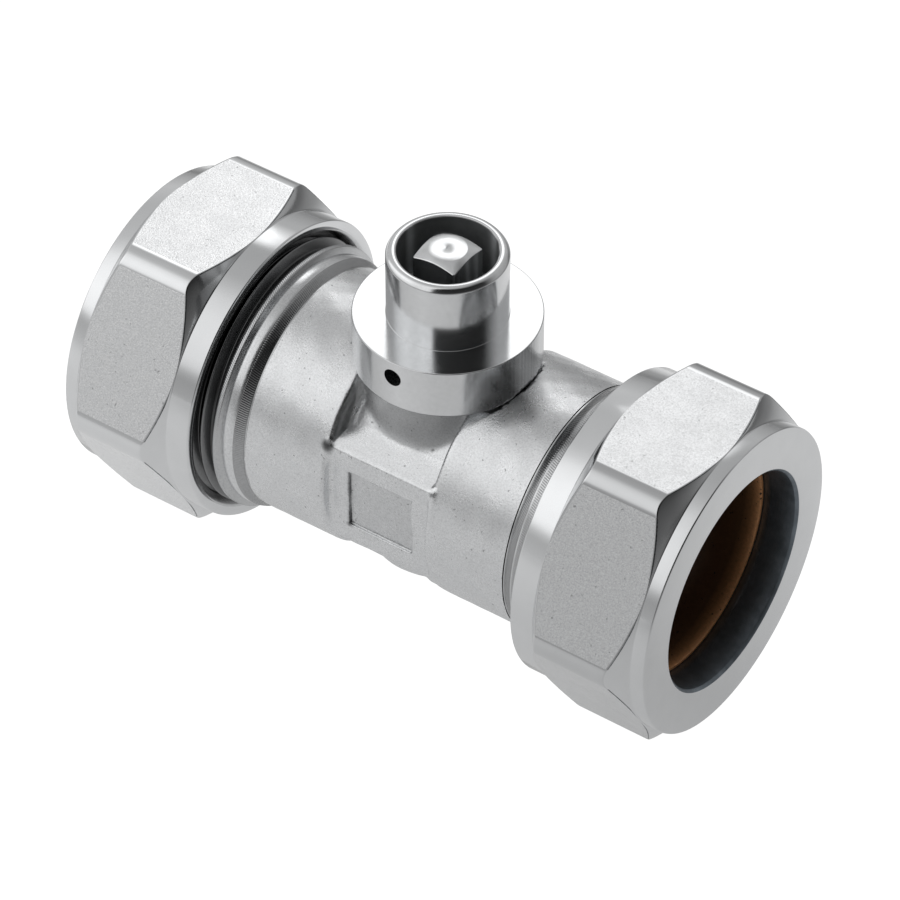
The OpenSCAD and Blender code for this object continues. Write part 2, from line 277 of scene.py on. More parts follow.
def turned_rows(outline, angle, axis):
    """Rings of points about the run, axis x, or the vent, axis z. The outline is a list of (radius, place),
    each of them one number or one for each angle."""
    rings = []
    for radius, along in outline:
        radius, along = radius + 0 * angle, along + 0 * angle
        ring = [radius * np.cos(angle), radius * np.sin(angle)]
        ring.insert(0 if axis == "x" else 2, along)
        rings.append(np.stack(ring, -1))
    return np.array(rings)


def on_end(points, sign, start=0.0):
    """Points of the right end, moved outwards by start, for the right end (1) or the left (-1). The left
    end is the right end turned half round the vent's axis, so both threads are right-handed."""
    return (points.reshape(-1, 3) + [start, 0, 0]) * [sign, sign, 1]


def from_flat(angle, sides):
    """How far each angle lies from the middle of the nearest side of a polygon."""
    part = math.pi / sides
    return np.abs((angle + part) % (2 * part) - part)


def polygon_radius(angle, sides, half, corner_r):
    """Radius of a polygon with rounded corners whose flats are at half from its centre. Angle 0 is the
    middle of a flat."""
    part = math.pi / sides
    turned = from_flat(angle, sides)
    corner = (half - corner_r) / math.cos(part)
    away = part - turned
    on_corner = corner * np.cos(away) + np.sqrt(np.maximum(corner_r ** 2 - (corner * np.sin(away)) ** 2, 0))
    flat_limit = math.atan(corner * math.sin(part) / half)
    return np.where(turned < flat_limit, half / np.cos(turned), on_corner)


# Shaping functions, from 0 to 1

def ease(value, low, high):
    """Rises smoothly from 0 at low to 1 at high."""
    t = np.clip((value - low) / (high - low), 0, 1)
    return t * t * (3 - 2 * t)


def fade(value, low, high):
    """Falls smoothly from 1 at low to 0 at high."""
    return ease(-value, -high, -low)


def hump(value, middle, width):
    """1 at the middle, and next to nothing two widths away from it."""
    return np.exp(-((value - middle) / width) ** 2)


# Materials

# Sockets of Blender's Mix node that take and give colours
MIX_FACTOR, MIX_FIRST, MIX_SECOND, MIX_RESULT = 0, 6, 7, 2
# Size of the broad unevenness in a metal's tone, and of the noise that scatters its pits
BROAD_GRAIN = 2.2
PIT_GRAIN = 0.42


def new_material(name):
    """A material with its node tree and its shader."""
    material = bpy.data.materials.new(name)
    material.use_nodes = True
    return material, material.node_tree, material.node_tree.nodes["Principled BSDF"]


def node(tree, kind, **values):
    """A node with its properties and, by their names with _ for a space, its inputs."""
    new = tree.nodes.new(kind)
    for key, value in values.items():
        if hasattr(new, key):
            setattr(new, key, value)
        else:
            new.inputs[key.replace("_", " ")].default_value = value
    return new


def feed(tree, value, socket):
    """Links a source to a socket, or gives the socket a fixed value."""
    if isinstance(value, bpy.types.NodeSocket):
        tree.links.new(value, socket)
    else:
        socket.default_value = value


def mixed(tree, kind, first, second, factor=1.0):
    """Two colours put together the way that kind says."""
    mix = node(tree, "ShaderNodeMix")
    mix.data_type = "RGBA"
    mix.blend_type = kind
    feed(tree, factor, mix.inputs[MIX_FACTOR])
    feed(tree, first, mix.inputs[MIX_FIRST])
    feed(tree, second, mix.inputs[MIX_SECOND])
    return mix.outputs[MIX_RESULT]


def share(tree, source, low, high):
    """How far a source lies from low to high, from 0 to 1."""
    spread = node(tree, "ShaderNodeMapRange", From_Min=low, From_Max=high)
    tree.links.new(source, spread.inputs["Value"])
    return spread.outputs[0]


def grey(tone):
    """A colour without a hue."""
    return (tone, tone, tone)


def ramp(tree, source, stops):
    """Colour of a source by stops of (value, colour), where a single number is a grey."""
    stops = [(at, colour if isinstance(colour, tuple) else grey(colour)) for at, colour in stops]
    new = node(tree, "ShaderNodeValToRGB")
    elements = new.color_ramp.elements
    for element, (at, colour) in zip(elements, (stops[0], stops[-1])):
        element.position = at
        element.color = (*colour, 1)
    for at, colour in stops[1:-1]:
        elements.new(at).color = (*colour, 1)
    tree.links.new(source, new.inputs["Fac"])
    return new.outputs["Color"]


def noise(tree, size, detail, roughness=0.6):
    """Noise over the object, with grains of a size in millimetres."""
    new = node(tree, "ShaderNodeTexNoise", Scale=1 / (size * MM), Detail=detail, Roughness=roughness)
    tree.links.new(node(tree, "ShaderNodeTexCoord").outputs["Object"], new.inputs["Vector"])
    return new.outputs["Fac"]


def point_value(tree, name):
    """A number that mark kept at the points of the mesh."""
    return node(tree, "ShaderNodeAttribute", attribute_name=name).outputs["Fac"]


def metal_tone(tree, colour, fine, broad, tint, speck, pits):
    """Base colour of a metal: uneven, specked, pitted and darkened by painted shade."""
    dark = tuple(c * (1 - tint) for c in colour)
    light = tuple(min(1, c * (1 + tint)) for c in colour)
    tone = ramp(tree, broad, [(0.3, dark), (0.7, light)])
    if speck:
        specks = ramp(tree, fine, [(0.32, 1 - 1.3 * speck), (0.5, 1), (0.68, 1 + speck)])
        tone = mixed(tree, "MULTIPLY", tone, specks)
    if pits:
        scattered = ramp(tree, noise(tree, PIT_GRAIN, 2.0, 0.5), [(0.0, 1), (0.69, 1), (0.75, 1 - pits)])
        tone = mixed(tree, "MULTIPLY", tone, scattered)
    # Painted shade kept at the points darkens the colour
    painted_shade = ramp(tree, point_value(tree, "painted_shade"), [(0.0, 1), (0.5, 0.42), (1.0, 0.06)])
    return mixed(tree, "MULTIPLY", tone, painted_shade)


def metal(name, colour, rough, grain, grain_depth, wave=0.0, spread=0.03, tint=0.02, speck=0.0, pits=0.0,
          dull=0.0):
    """Plated metal. grain is the size of its grain and wave the height of its broad unevenness, in
    millimetres. spread is how much its roughness varies and tint its tone, speck how much the grain changes
    the tone, pits how dark its scattered small pits are, and dull how far it is from a mirror."""
    material, tree, shader = new_material(name)
    link = tree.links.new
    fine = noise(tree, grain, 3.0)
    broad = noise(tree, BROAD_GRAIN, 4.0, 0.55)
    link(metal_tone(tree, colour, fine, broad, tint, speck, pits), shader.inputs["Base Color"])
    # A dull place is rougher and less metallic
    frost = node(tree, "ShaderNodeMath", operation="ADD", use_clamp=True)
    link(point_value(tree, "frost"), frost.inputs[0])
    frost.inputs[1].default_value = dull
    link(ramp(tree, frost.outputs[0], [(0.0, 1), (1.0, 0)]), shader.inputs["Metallic"])
    smooth = ramp(tree, broad, [(0.3, rough + spread), (0.7, max(0.02, rough - spread))])
    roughness = mixed(tree, "MIX", smooth, (*grey(0.6), 1), frost.outputs[0])
    link(roughness, shader.inputs["Roughness"])
    bump = node(tree, "ShaderNodeBump", Strength=1.0, Distance=grain_depth * MM)
    link(fine, bump.inputs["Height"])
    if wave:
        swell = node(tree, "ShaderNodeBump", Strength=1.0, Distance=wave * MM)
        link(broad, swell.inputs["Height"])
        link(swell.outputs["Normal"], bump.inputs["Normal"])
    link(bump.outputs["Normal"], shader.inputs["Normal"])
    return material


def plain(name, colour, rough):
    """Rubber or fibre, a little uneven in tone."""
    material, tree, shader = new_material(name)
    dark, light = tuple(c * 0.8 for c in colour), tuple(c * 1.2 for c in colour)
    tone = ramp(tree, noise(tree, 0.5, 3.0, 0.5), [(0.3, dark), (0.7, light)])
    tree.links.new(tone, shader.inputs["Base Color"])
    shader.inputs["Roughness"].default_value = rough
    return material


FORGED = metal("forged_plate", (0.80, 0.81, 0.82), 0.28, 0.17, 0.022, wave=0.01, speck=0.10, pits=0.5)
FLATS = metal("nut_flat_plate", (0.93, 0.94, 0.95), 0.24, 0.15, 0.02, spread=0.02, speck=0.10, pits=0.4)
TURNED = metal("turned_plate", (0.82, 0.83, 0.84), 0.12, 0.5, 0.001, wave=0.003, spread=0.02, tint=0.015)
# Painted dark line: shade along the nuts' flat edges, under the collar and in the outlet
PAINTED_DARK_LINE = metal("painted_dark_line", (0.22, 0.23, 0.24), 0.3, 0.2, 0.01, tint=0.5, speck=0.6)
POLISHED = metal("polished_plate", (0.84, 0.85, 0.86), 0.15, 0.5, 0.002, wave=0.004, spread=0.02, speck=0.02)
# Painted shade: darker grey for the inside of the cup
CAVITY = metal("cup_inside_painted_shade", (0.5, 0.52, 0.53), 0.2, 0.4, 0.004, wave=0.01, tint=0.2)
THREAD = metal("thread_plate", (0.76, 0.77, 0.78), 0.2, 0.2, 0.006, speck=0.08)
COPPER = metal("olive_metal", (0.85, 0.42, 0.18), 0.36, 0.3, 0.006, wave=0.02, speck=0.1, pits=0.9, dull=0.7)
BORE = metal("raw_bore_metal", (0.32, 0.17, 0.1), 0.5, 0.6, 0.02, wave=0.06, tint=0.6, pits=0.9, dull=0.75)
# Painted shade: dark metal for the nut's end hole
HOLE = metal("nut_hole_painted_shade", (0.2, 0.23, 0.26), 0.4, 0.5, 0.004, wave=0.01, tint=0.3, dull=0.2)
RUBBER = plain("seal_rubber", (0.02, 0.02, 0.02), 0.5)
WASHER = plain("washer_fibre", (0.05, 0.05, 0.05), 0.7)


# Forged middle, as a level surface of one distance field

def smooth_min(a, b, k):
    """The lower of two fields, blended over a width of k."""
    h = np.clip(0.5 + 0.5 * (b - a) / k, 0, 1)
    return b * (1 - h) + a * h - k * h * (1 - h)


def smooth_max(a, b, k):
    """The higher of two fields, blended over a width of k."""
    return -smooth_min(-a, -b, k)


def uneven(x, y, z):
    """Gentle unevenness of a forging, in millimetres."""
    return 0.018 * (
        np.sin(1.3 * x + 0.9 * y + 0.4) * np.sin(1.1 * z - 0.7 * x)
        + np.sin(2.1 * y - 1.2 * z + 1.0) * np.sin(1.7 * x + 0.5 * z)
    )


def core_field(p):
    """Distance from the outside of the forging: barrels, flats, neck and pad on the narrow middle, less the
    sunk panel and the round facing under the collar."""
    x, y, z = p[..., 0], p[..., 1], p[..., 2]
    ax, ay, az = np.abs(x), np.abs(y), np.abs(z)
    rho = np.sqrt(y * y + z * z)
    upright = np.sqrt(x * x + y * y)
    barrel = smooth_max(rho - BARREL_R, BARREL_START - ax, EDGE_BLEND)
    block = smooth_max(ay - FLAT_Y, az - FLAT_Z, EDGE_BLEND)
    block = smooth_max(block, ax - BARREL_START - BLOCK_END_BLEND, BLOCK_END_BLEND)
    neck = np.maximum(np.maximum(upright - NECK_R, z - NECK_TOP), -z)
    pad = np.maximum(smooth_max(upright - PAD_R, -z - PAD_Z, PAD_EDGE_BLEND), z)
    d = smooth_min(rho - MIDDLE_R, block, BLOCK_BLEND)
    d = smooth_min(d, barrel, BARREL_BLEND)
    d = smooth_min(d, neck, NECK_BLEND)
    d = smooth_min(d, pad, PAD_BLEND)
    d = d + uneven(x, y, z)
    panel = np.maximum(np.maximum(ax - PANEL_X, az - PANEL_Z), y + FLAT_Y - PANEL_DEPTH)
    d = smooth_max(d, -panel, PANEL_BLEND)
    facing = np.maximum(upright - FACING_R, NECK_TOP - z)
    return np.maximum(d, -facing)


def bore_field(p):
    """Distance from the inside of the body: waterway, hole for the vent and inner part of the sockets."""
    x, y, z = p[..., 0], p[..., 1], p[..., 2]
    rho = np.sqrt(y * y + z * z)
    upright = np.sqrt(x * x + y * y)
    tapped = np.maximum(upright - TAPPED_R, -z)
    tube = smooth_min(rho - WATERWAY_R, tapped, 0.2)
    socket = np.maximum(rho - SOCKET_R, STOP - np.abs(x))
    return -np.minimum(tube, socket)


def net_points(value, grid):
    """For each cell that the surface crosses, the middle of the crossings on its edges, and a grid of the
    points' numbers that holds -1 in all other cells."""
    inside = value < 0
    nx, ny, nz = value.shape
    total = np.zeros((nx - 1, ny - 1, nz - 1, 3))
    hits = np.zeros((nx - 1, ny - 1, nz - 1))

    def at(array, corner):
        i, j, k = corner
        return array[i:nx - 1 + i, j:ny - 1 + j, k:nz - 1 + k]

    for a in [(i, j, k) for i in (0, 1) for j in (0, 1) for k in (0, 1)]:
        for axis in range(3):
            if a[axis]:
                continue
            b = list(a)
            b[axis] = 1
            va, vb = at(value, a), at(value, b)
            cross = at(inside, a) != at(inside, b)
            t = np.where(cross, va / np.where(cross, va - vb, 1), 0)
            point = at(grid, a) * (1 - t[..., None]) + at(grid, b) * t[..., None]
            total += np.where(cross[..., None], point, 0)
            hits += cross
    used = hits > 0
    index = -np.ones(used.shape, int)
    index[used] = np.arange(used.sum())
    return total[used] / hits[used][:, None], index


def net_faces(inside, index):
    """A quad round each edge of the grid that the surface crosses, through the points of its four cells."""
    faces = []
    for axis in range(3):
        first = [slice(1, n - 1) for n in inside.shape]
        second = list(first)
        first[axis] = slice(0, inside.shape[axis] - 1)
        second[axis] = slice(1, inside.shape[axis])
        from_here, to_next = inside[tuple(first)], inside[tuple(second)]
        where = np.argwhere(from_here != to_next)
        inwards = to_next[from_here != to_next]
        u, v = [a for a in range(3) if a != axis]
        where[:, [u, v]] += 1
        quad = []
        for du, dv in ((1, 1), (0, 1), (0, 0), (1, 0)):
            cell = where.copy()
            cell[:, u] -= du
            cell[:, v] -= dv
            quad.append(index[cell[:, 0], cell[:, 1], cell[:, 2]])
        quad = np.stack(quad, -1)
        if axis == 1:
            quad = quad[:, ::-1]
        quad[inwards] = quad[inwards][:, ::-1]
        faces.append(quad[(quad >= 0).all(1)])
    return np.concatenate(faces)


def gradient(field, p, h=0.004):
    """Slope of a field along each axis."""
    out = np.zeros_like(p)
    for axis in range(3):
        aside = np.zeros(3)
        aside[axis] = h
        out[:, axis] = (field(p + aside) - field(p - aside)) / (2 * h)
    return out


def settle(field, points, cell):
    """Moves points on to the surface and gives the normals there."""
    for _ in range(4):
        g = gradient(field, points)
        size = np.maximum((g * g).sum(1), 1e-6)
        move = -(field(points) / size)[:, None] * g
        length = np.linalg.norm(move, axis=1, keepdims=True)
        points = points + move * np.minimum(1, 0.4 * cell / np.maximum(length, 1e-9))
    g = gradient(field, points)
    return points, g / np.maximum(np.linalg.norm(g, axis=1, keepdims=True), 1e-9)


def level_surface(field, low, high, cell):
    """Points, faces and normals of the surface where a field is zero, by surface nets."""
    axes = [np.arange(a, b + cell * 0.5, cell) for a, b in zip(low, high)]
    grid = np.stack(np.meshgrid(*axes, indexing="ij"), -1)
    value = field(grid)
    points, index = net_points(value, grid)
    points, normals = settle(field, points, cell)
    return points, net_faces(value < 0, index).tolist(), normals


# Painted shade on the forging, worked out from the place and the normal of each point

# Dark spots at the foot of the neck and where the facing runs out of the barrel, as (x, y, z, size)
DARK_SPOTS = (
    (1.2, -7.9, 6.7, 0.16), (1.9, -7.85, 6.6, 0.2), (2.7, -7.6, 6.7, 0.15), (3.3, -7.3, 6.8, 0.17),
    (6.2, -7.2, 11.9, 0.3), (6.7, -6.75, 12.0, 0.36), (7.2, -6.2, 12.1, 0.26), (5.7, -7.5, 11.8, 0.22),
)
# Corners where the ledges beside the neck meet the barrels, with the size of the spot of painted shade on
# each side
LEDGE_CORNER = (6.1, 11.35, 5.6)
LEDGE_SPOT = {-1: 0.66, 1: 0.3}
# How much of a shoulder's painted shade makes a place a part of its dark crescent
CRESCENT = (0.12, 0.26)


def spot(points, centre, size, amount):
    """A round dark patch."""
    away = np.linalg.norm(points - centre, axis=1)
    return amount * np.exp(-(away / size) ** 4)


def shoulder_painted_shade(points, normals, mottle):
    """Painted shade: the barrels' inner walls are dark in a crescent, widest half way down and closed at both
    ends.
    """
    x, y, z = points.T
    rho = np.hypot(y, z)
    down = np.degrees(np.arctan2(np.abs(y), z))
    width = 2.3 * np.sqrt(np.clip(1 - ((down - 51) / 17) ** 2, 0, 1))
    wall = ease(np.abs(x), 4.9, 5.4) * fade(np.abs(x), 6.3, 6.9) * ease(np.abs(normals[:, 0]), 0.35, 0.7)
    wall = wall * ease(rho - (BARREL_R - width), -0.12, 0.12) * (width > 0.2)
    rim = 1 - 0.3 * hump(rho, 11.9, 0.4)
    grain = 0.5 + 0.5 * np.sin(17 * z + 9 * y) * np.sin(13 * y - 11 * z + 2.0)
    return wall * rim * (0.38 + 0.14 * mottle + 0.16 * grain)


def neck_painted_shade(points, normals):
    """Painted shade: the neck is darker on its right side and under the collar."""
    x, y, z = points.T
    neck = fade(np.hypot(x, y), 7.9, 8.3) * ease(z, 6.0, 7.2)
    return neck * (0.1 + 0.14 * ease(normals[:, 0], -0.7, 0.2) + 0.16 * ease(z, 10.6, 11.8))


def panel_painted_shade(points, mottle):
    """Painted shade: the sunk panel is a little dark, with a darker left edge and lower left corner."""
    x, y, z = points.T
    in_panel = (np.abs(x) < PANEL_X + 0.1) * (np.abs(z) < PANEL_Z + 0.1)
    painted_shade = 0.12 * ease(y, -FLAT_Y + 0.06, -FLAT_Y + 0.3) * (y < 0) * in_panel
    left_edge = hump(x, -PANEL_X, 0.1) * (np.abs(z) < PANEL_Z) * (y < -10.8)
    painted_shade = np.maximum(painted_shade, 0.6 * left_edge * (0.6 + 0.4 * mottle))
    return np.maximum(painted_shade, spot(points, [-PANEL_X, -FLAT_Y + 0.2, -PANEL_Z], 0.35, 0.7))


def core_painted_shade(points, normals):
    """Where the forging is darkened: painted shade on its shoulders, inner corners, neck and panel, and dark
    spots.
    """
    x, y, z = points.T
    mottle = 0.5 + 0.5 * np.sin(5.1 * z + 2.3 * y) * np.sin(4.3 * y - 3.1 * z + 1.0)
    # Painted dark line behind each ledge's front edge, standing in for shade along the rounded edge
    line = 0.2 * hump(np.abs(y), FLAT_Y - 0.75, 0.09) * (z > 5.5) * (np.abs(x) < 5.6)
    parts = [
        shoulder_painted_shade(points, normals, mottle), neck_painted_shade(points, normals), panel_painted_shade(points, mottle), line,
    ]
    for side_x, size in LEDGE_SPOT.items():
        for side_y in (-1, 1):
            parts.append(spot(points, np.multiply(LEDGE_CORNER, (side_x, side_y, 1)), size, 0.95))
    for *centre, size in DARK_SPOTS:
        parts.append(spot(points, centre, size, 0.8))
    return np.clip(np.max(parts, axis=0), 0, 1)


def core_finish(points, normals):
    """Painted shade and dullness of the forging, and its normals with the ledges beside the neck turned a
    little to the light."""
    x, y, z = points.T
    painted_shade = core_painted_shade(points, normals)
    ledge = ease(normals[:, 2], 0.7, 0.92) * ease(z, 5.0, 5.4)
    ledge = ledge * fade(np.abs(x), 6.1, 6.5) * ease(np.abs(y), 7.0, 7.6)
    wall = ease(np.abs(normals[:, 0]), 0.2, 0.5) * ease(z, 5.0, 5.6)
    wall = wall * fade(np.abs(x), 6.5, 6.9) * fade(np.hypot(y, z), 12.2, 12.6)
    dark = ease(painted_shade, *CRESCENT)
    lit = 0.9 * np.clip(np.maximum(ledge, wall * (1 - dark)), 0, 1)[:, None]
    to_light = np.stack([0 * x, np.sign(y) * 0.6, 0 * x + 0.8], -1)
    bent = normals * (1 - lit) + to_light * lit
    bent = bent / np.linalg.norm(bent, axis=1, keepdims=True)
    neck = fade(np.hypot(x, y), 7.7, 8.1) * ease(z, 6.2, 7.4)
    return painted_shade, 0.8 * np.maximum(neck, wall * dark), bent


def build_core():
    """Outside of the forging, between the turned ends."""
    reach = BARREL_R + 0.5
    points, faces, normals = level_surface(
        core_field, (-CORE_END, -reach, -reach), (CORE_END, reach, reach), CORE_CELL)
    painted_shade, frost, normals = core_finish(points, normals)
    mesh_object("body_core", points, faces, FORGED, "root", "body",
                normals=normals, painted_shade=painted_shade, frost=frost)


def build_waterway():
    """Inside of the body, between the outer parts of the sockets."""
    reach = 12.0
    points, faces, normals = level_surface(
        bore_field, (-CORE_END, -reach, -reach), (CORE_END, reach, NECK_TOP - 0.2), BORE_CELL)
    mesh_object("body_waterway", points, faces, BORE, "root", normals=normals)


build_core()
build_waterway()


# Turned ends of the body, with the thread

def thread_rows(start, end, root, crest, lead, phase, angle):
    """Rows of a right-hand thread along the run, and how deep each point lies in it. lead is the length over
    which the ridges rise and run out, and phase how far they are moved, as a share of the pitch."""
    outline, deep = [], []
    for turn in range(-1, int((end - start) / PITCH) + 2):
        for along, height in THREAD_SHAPE:
            x = np.clip(start + PITCH * (turn + along + phase + angle / (2 * math.pi)), start, end)
            rise = height * np.clip(np.minimum(x - start, end - x) / lead, 0, 1)
            outline.append((root + (crest - root) * rise, x))
            deep.append(1 - rise)
    return turned_rows(outline, angle, "x"), np.array(deep)


def helix_faces(count, columns, first, last, turn, closed_rows=False):
    """Grid faces whose thread rows, first to last, go on one turn further where the columns close."""
    faces = np.array(grid_faces(count, columns, closed_rows))
    row, column = faces // columns, faces % columns
    seam = (column[:, 0] == columns - 1) & (row.min(1) >= first) & (row.max(1) <= last)
    moved = row[seam]
    moved = np.where(column[seam] == 0, np.clip(moved + turn, first, last), moved)
    faces[seam] = moved * columns + column[seam]
    # Quads that shrink to a line at the thread's ends are left out
    keep = ~(seam & (faces[:, 1] == faces[:, 2]))
    return faces[keep].tolist()


def build_end(side, sign):
    """Turned cone, ring and thread of one end, with its end face and the outer part of its socket."""
    angle = circle(END_SEGMENTS)
    thread_end = BODY_END - THREAD_CHAMFER
    before = rounded([
        (BARREL_R - 0.01, CORE_END - 0.1, 0), (BARREL_R - 0.01, CONE_START, 0.02),
        (RING_R - 0.04, RING_START, 0.03), (RING_R, RING_START + 0.04, 0), (RING_R, RING_END, 0.04),
        (THREAD_ROOT, THREAD_START, 0),
    ])
    after = rounded([
        (THREAD_ROOT, thread_end, 0), (THREAD_ROOT - THREAD_CHAMFER, BODY_END, 0.05),
        (OLIVE_R, BODY_END, 0.05), (SOCKET_R, SOCKET_END, 0.3), (SOCKET_R, CORE_END - 0.1, 0),
    ])
    first, last = turned_rows(before, angle, "x"), turned_rows(after, angle, "x")
    thread, deep = thread_rows(RIDGE_START, thread_end, THREAD_ROOT, THREAD_CREST, lead=0.5,
                               phase=THREAD_PHASE[sign], angle=angle)
    rows = np.concatenate([first, thread, last])
    faces = helix_faces(len(rows), len(angle), len(first), len(first) + len(thread) - 1, len(THREAD_SHAPE))
    # Painted shade: the turned cone beside the barrel is dark, and the thread darker still in its valleys
    on_cone = (first[..., 0] > CONE_START - 0.05) & (first[..., 0] < RING_START + 0.02)
    thread_painted_shade = 0.62 + 0.3 * deep ** 0.7
    painted_shade = np.concatenate([0.45 * on_cone, thread_painted_shade, np.full(last.shape[:2], 0.5)]).ravel()
    mesh_object("body_end_" + side, on_end(rows, sign), flipped(faces), THREAD, "root",
                painted_shade=painted_shade)


def build_crest(side, sign):
    """First turn of the thread, a plain ridge under the fine hatching."""
    top, foot = 0.02, 0.35
    outline = rounded([
        (THREAD_ROOT, CREST_START - foot, 0), (THREAD_CREST - 0.08, CREST_START - top, 0.05),
        (THREAD_CREST - 0.08, CREST_END + top, 0.05), (THREAD_ROOT, CREST_END + foot, 0),
    ])
    angle = circle(END_SEGMENTS)
    rows = turned_rows(outline, angle, "x")
    # Painted shade, lighter on the ridge's inner side
    inner_side = outline[:, 1] < (CREST_START + CREST_END) / 2
    painted_shade = np.repeat(np.where(inner_side, 0.2, 0.6), len(angle))
    faces = flipped(grid_faces(len(rows), len(angle)))
    mesh_object("crest_" + side, on_end(rows, sign), faces, THREAD, "root", painted_shade=painted_shade)


def build_hatch(name, sign, low, high, ridge_painted_shade, valley_painted_shade, depth):
    """Fine slanted ridges round the body between two (radius, place) points, in painted shade, lighter on the
    ridges and darker in the valleys.
    """
    angle = circle(HATCH_COLUMNS)
    outline, painted_shade = [], []
    for t in np.linspace(0, 1, HATCH_ROWS):
        wave = 0.5 + 0.5 * np.cos(HATCH_RIDGES * angle - HATCH_SLANT * t)
        run_out = min(1, 6 * min(t, 1 - t))
        radius, along = (a + t * (b - a) for a, b in zip(low, high))
        outline.append((radius - 0.03 + depth * (0.4 + 0.6 * wave) * run_out, along))
        painted_shade.append(valley_painted_shade + (ridge_painted_shade - valley_painted_shade) * wave)
    rows = turned_rows(outline, angle, "x")
    faces = flipped(grid_faces(len(rows), len(angle)))
    mesh_object(name, on_end(rows, sign), faces, THREAD, "root", painted_shade=np.array(painted_shade).ravel())


SIDES = {"right": 1, "left": -1}
# Painted shade in the valleys of the cone's hatching on each end
CONE_VALLEY_PAINTED_SHADE = {"right": 0.6, "left": 0.42}
HATCH_R = THREAD_CREST - 0.05
for side, sign in SIDES.items():
    build_end(side, sign)
    build_hatch("cone_hatch_" + side, sign, (BARREL_R, CONE_START), (RING_R, RING_START),
                ridge_painted_shade=0.3, valley_painted_shade=CONE_VALLEY_PAINTED_SHADE[side], depth=0.06)
    build_hatch("crest_hatch_" + side, sign, (HATCH_R, CREST_START), (HATCH_R, CREST_END),
                ridge_painted_shade=0.0, valley_painted_shade=0.45, depth=0.06)
    build_crest(side, sign)
build_hatch("ring_hatch_right", 1, (RING_R, RING_START), (RING_R, RING_END - 0.2),
            ridge_painted_shade=0.35, valley_painted_shade=0.65, depth=0.05)


# Nuts and olives

# Rows of nut_outline: both chamfers, the two lines where a chamfer meets its flat, the sides of the flats,
# the flats themselves, and where the end hole starts
CHAMFER_ROWS = [6, 7, 12, 13]
LINE_ROWS = [7, 11]
BESIDE_FLAT_ROWS = [8, 9, 10, 11]
FLAT_ROW = 9
HOLE_ROW = 20
# A flat ends this far from its middle, where the turned corner starts
FLAT_LIMIT = math.radians(25.9)
# Painted shade on the chamfers, as (angle round the run, amount)
CHAMFER_SHADES = ((120, 0.34), (60, 0.12))


def nut_outline(angle):
    """Outside and bore of a nut, as rows of (radius, place) from its threaded mouth, over the flats and in
    again through the end hole to the thread's inner end."""
    hexagon = polygon_radius(angle + math.pi / 2, 6, NUT_HALF, NUT_CORNER_R)
    reach = (hexagon - NUT_HALF) * NUT_SLOPE
    cut = np.minimum(NUT_SOFT, 0.3 * reach)
    chamfer = [
        (NUT_HALF + cut / NUT_SLOPE, cut), (hexagon - cut / NUT_SLOPE, reach - cut),
        (hexagon - 0.25 * cut, reach), (hexagon, reach + 2 * cut + 0.02),
    ]
    far = NUT_LEN - NUT_END_BAND
    broken = 0.3 * NUT_EDGE
    return [
        (NUT_THREAD_R + NUT_MOUTH + 0.05, 0), (NUT_BAND_R - NUT_EDGE, 0), (NUT_BAND_R - broken, broken),
        (NUT_BAND_R, NUT_EDGE), (NUT_BAND_R, NUT_BAND - NUT_SOFT), (NUT_BAND_R + 0.02, NUT_BAND),
        *[(radius, NUT_BAND + along) for radius, along in chamfer],
        *[(radius, far - along) for radius, along in reversed(chamfer)],
        (NUT_BAND_R + 0.02, far), (NUT_BAND_R, far + NUT_SOFT), (NUT_BAND_R, NUT_LEN - NUT_EDGE),
        (NUT_BAND_R - broken, NUT_LEN - broken), (NUT_BAND_R - NUT_EDGE, NUT_LEN),
        (NUT_HOLE_R + 0.35, NUT_LEN), (NUT_HOLE_R + 0.29, NUT_LEN - 0.02),
        (NUT_HOLE_R + 0.03, NUT_LEN - 0.27), (NUT_HOLE_R, NUT_LEN - 0.33),
        (NUT_HOLE_R, NUT_CONE_START + 0.05),
        (NUT_HOLE_R + 0.03, NUT_CONE_START - 0.05), (NUT_CONE_TOP_R, NUT_CONE_END),
        (NUT_THREAD_R, NUT_THREAD_END),
    ]


def nut_thread(start, sign, angle):
    """Rows of a nut's thread from its inner end to the mouth, and how deep each point lies in it. The nut's
    ridges lie in the body's valleys, half a pitch from the body's ridges."""
    mouth = 0.4 * NUT_MOUTH
    phase = ((RIDGE_START - start - mouth) / PITCH + 0.5 + THREAD_PHASE[sign]) % 1 - 1
    root = NUT_THREAD_R + NUT_THREAD_DEPTH
    rows, deep = thread_rows(mouth, NUT_THREAD_END, root, NUT_THREAD_R, lead=0.3, phase=phase, angle=angle)
    # Inside the countersink the ridges run out on its cone
    radius = np.hypot(rows[..., 1], rows[..., 2])
    cone = NUT_THREAD_R + NUT_MOUTH - rows[..., 0]
    scale = np.maximum(radius, cone) / radius
    rows = rows * np.stack([np.ones_like(scale), scale, scale], -1)
    return rows[::-1], deep[::-1]


def nut_shade(shape, sign, angle):
    """Painted shade on a nut's outside and bore: its chamfers, and beside the flats on the right nut."""
    shade = np.zeros(shape)
    if sign > 0:
        shade[BESIDE_FLAT_ROWS] = 0.12
    around = np.degrees(angle) if sign > 0 else 180 - np.degrees(angle)
    shade[CHAMFER_ROWS] = sum(amount * hump(around, at, 20) for at, amount in CHAMFER_SHADES)
    return shade


